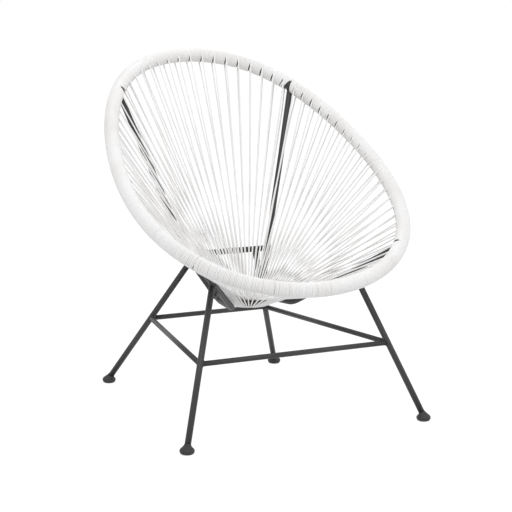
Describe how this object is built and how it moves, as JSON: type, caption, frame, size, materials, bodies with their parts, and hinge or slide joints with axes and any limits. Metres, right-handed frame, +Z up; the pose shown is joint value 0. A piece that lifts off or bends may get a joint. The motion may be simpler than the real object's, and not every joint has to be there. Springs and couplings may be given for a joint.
{
  "type": "acapulco chair",
  "caption": "Low round outdoor lounge chair: a tilted egg-shaped hoop laced with plastic cord to a small lower ring, on a four-legged tube base.",
  "frame": {"origin": "on the floor, midway between the chair's sides and midway between its front and back", "axes": "+Z up, -Y the way the sitter faces, +X the sitter's left"},
  "size_m": [0.7326, 0.7839, 0.873],
  "materials": {
    "cord": "white solid plastic cord with a soft sheen",
    "frame": "charcoal black fine powder coat",
    "foot": "black moulded glide",
    "fastener": "dark plated bolt and nut"
  },
  "bodies": {
    "root": {"hoop": "frame", "lower_ring": "frame", "side_tube_left": "frame", "side_tube_right": "frame", "rear_crossbar": "frame", "rear_left_bolt": "fastener", "rear_left_nut": "fastener", "rear_right_bolt": "fastener", "rear_right_nut": "fastener", "front_leg_left": "frame", "front_leg_right": "frame", "rear_leg_left": "frame", "rear_leg_right": "frame", "front_stretcher": "frame", "rear_stretcher": "frame", "side_stretcher_left": "frame", "side_stretcher_right": "frame", "front_foot_left": "foot", "front_foot_right": "foot", "rear_foot_left": "foot", "rear_foot_right": "foot", "tube_plate_left": "frame", "leg_plate_left": "frame", "front_left_bolt": "fastener", "front_left_nut": "fastener", "tube_plate_right": "frame", "leg_plate_right": "frame", "front_right_bolt": "fastener", "front_right_nut": "fastener", "lacing_front": "cord", "lacing_left": "cord", "lacing_back_left": "cord", "lacing_back_right": "cord", "lacing_right": "cord"}
  },
  "joints": []
}
